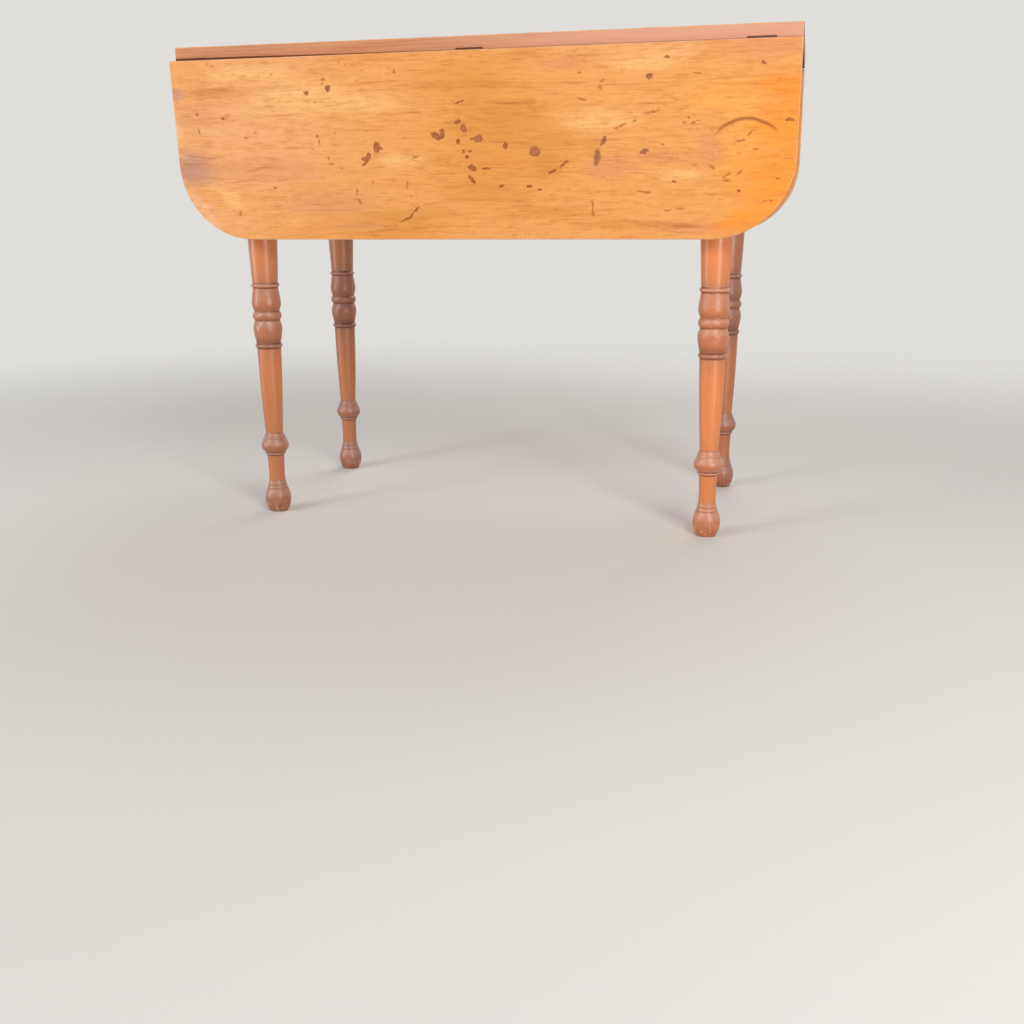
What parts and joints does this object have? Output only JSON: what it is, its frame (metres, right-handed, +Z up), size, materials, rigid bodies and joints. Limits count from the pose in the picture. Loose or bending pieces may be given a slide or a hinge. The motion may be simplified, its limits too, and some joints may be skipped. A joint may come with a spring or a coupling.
{
  "type": "pembroke table",
  "caption": "Small drop-leaf occasional table with turned legs and ball feet, hanging leaves on table hinges, swinging leaf brackets and an end drawer.",
  "frame": {"origin": "on the floor, midway between the four feet", "axes": "+X along the table's length towards the drawer end, +Y towards the rear leaf, +Z up"},
  "size_m": [0.918, 0.4366, 0.72],
  "materials": {
    "cherry_board": "worn satin varnish over honey-coloured cherry",
    "cherry_turned": "semi-gloss varnish over red-brown cherry",
    "cherry_frame": "satin varnish over cherry",
    "fly_wood": "waxed hardwood",
    "inner_wood": "bare planed softwood",
    "hinge_iron": "dark worn iron",
    "plain_steel": "dull steel"
  },
  "bodies": {
    "frame": {"fixed_top": "cherry_board", "leg_front_left": "cherry_turned", "leg_front_right": "cherry_turned", "leg_rear_left": "cherry_turned", "leg_rear_right": "cherry_turned", "side_rail_front": "cherry_frame", "side_rail_rear": "cherry_frame", "end_rail": "cherry_frame", "drawer_rail_upper": "cherry_frame", "drawer_rail_lower": "cherry_frame", "drawer_runner_front": "inner_wood", "drawer_runner_rear": "inner_wood", "drawer_kicker_front": "inner_wood", "drawer_kicker_rear": "inner_wood", "drawer_stops": "inner_wood", "fly_rail_front": "fly_wood", "fly_rail_rear": "fly_wood", "fly_pin_front_left": "plain_steel", "fly_pin_front_right": "plain_steel", "fly_pin_rear_left": "plain_steel", "fly_pin_rear_right": "plain_steel", "hinge_top_plate_front_left": "hinge_iron", "hinge_top_plate_front_middle": "hinge_iron", "hinge_top_plate_front_right": "hinge_iron", "hinge_top_plate_rear_left": "hinge_iron", "hinge_top_plate_rear_middle": "hinge_iron", "hinge_top_plate_rear_right": "hinge_iron", "hinge_pin_front_left": "plain_steel", "hinge_pin_front_middle": "plain_steel", "hinge_pin_front_right": "plain_steel", "hinge_pin_rear_left": "plain_steel", "hinge_pin_rear_middle": "plain_steel", "hinge_pin_rear_right": "plain_steel", "top_fixing_screws": "plain_steel", "fly_rail_screws": "plain_steel", "top_plate_screws": "plain_steel"},
    "leaf_front": {"front_leaf": "cherry_board", "hinge_leaf_plate_front_left": "hinge_iron", "hinge_leaf_plate_front_middle": "hinge_iron", "hinge_leaf_plate_front_right": "hinge_iron", "front_leaf_screws": "plain_steel"},
    "leaf_rear": {"rear_leaf": "cherry_board", "hinge_leaf_plate_rear_left": "hinge_iron", "hinge_leaf_plate_rear_middle": "hinge_iron", "hinge_leaf_plate_rear_right": "hinge_iron", "rear_leaf_screws": "plain_steel"},
    "drawer": {"drawer_front": "cherry_frame", "drawer_side_front": "inner_wood", "drawer_side_rear": "inner_wood", "drawer_back": "inner_wood", "drawer_bottom": "inner_wood", "drawer_knob": "cherry_frame"},
    "bracket_front_left": {"fly_bracket_front_left": "fly_wood"},
    "bracket_front_right": {"fly_bracket_front_right": "fly_wood"},
    "bracket_rear_left": {"fly_bracket_rear_left": "fly_wood"},
    "bracket_rear_right": {"fly_bracket_rear_right": "fly_wood"}
  },
  "joints": [
    {"name": "front_leaf_hinge", "type": "hinge", "parent": "frame", "child": "leaf_front", "pos_m": [0, -0.1984, 0.7], "axis": [-1, 0, 0], "range_deg": [0, 92.67]},
    {"name": "rear_leaf_hinge", "type": "hinge", "parent": "frame", "child": "leaf_rear", "pos_m": [0, 0.1984, 0.7], "axis": [1, 0, 0], "range_deg": [0, 92.67]},
    {"name": "drawer_slide", "type": "slide", "parent": "frame", "child": "drawer", "axis": [1, 0, 0], "range_m": [0, 0.32]},
    {"name": "front_left_bracket_swing", "type": "hinge", "parent": "frame", "child": "bracket_front_left", "pos_m": [-0.165, -0.167, 0.639], "axis": [0, 0, 1], "range_deg": [0, 6]},
    {"name": "front_right_bracket_swing", "type": "hinge", "parent": "frame", "child": "bracket_front_right", "pos_m": [0.165, -0.167, 0.639], "axis": [0, 0, -1], "range_deg": [0, 6]},
    {"name": "rear_left_bracket_swing", "type": "hinge", "parent": "frame", "child": "bracket_rear_left", "pos_m": [-0.165, 0.167, 0.639], "axis": [0, 0, -1], "range_deg": [0, 6]},
    {"name": "rear_right_bracket_swing", "type": "hinge", "parent": "frame", "child": "bracket_rear_right", "pos_m": [0.165, 0.167, 0.639], "axis": [0, 0, 1], "range_deg": [0, 6]}
  ]
}
